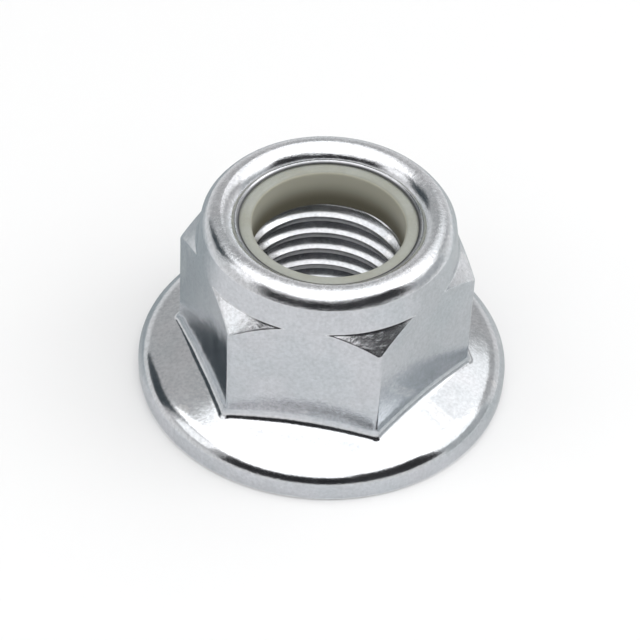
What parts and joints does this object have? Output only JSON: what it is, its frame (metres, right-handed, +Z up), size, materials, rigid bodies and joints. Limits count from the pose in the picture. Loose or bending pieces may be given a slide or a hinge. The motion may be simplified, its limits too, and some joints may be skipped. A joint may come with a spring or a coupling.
{
  "type": "nylon insert flange lock nut",
  "caption": "Hexagon nut forged in one with a conical flange, with a nylon ring crimped into its collar to grip the bolt's thread.",
  "frame": {"origin": "centre of the flange's bearing face, on the thread axis", "axes": "+Z up the thread axis from the bearing face to the nylon ring; two corners of the hexagon lie over the X axis"},
  "size_m": [0.0344, 0.0344, 0.0198],
  "materials": {
    "zinc_steel": "bright zinc plated, cold forged",
    "nylon": "natural nylon, satin"
  },
  "bodies": {
    "root": {"nut_body": "zinc_steel", "nylon_insert": "nylon"}
  },
  "joints": []
}
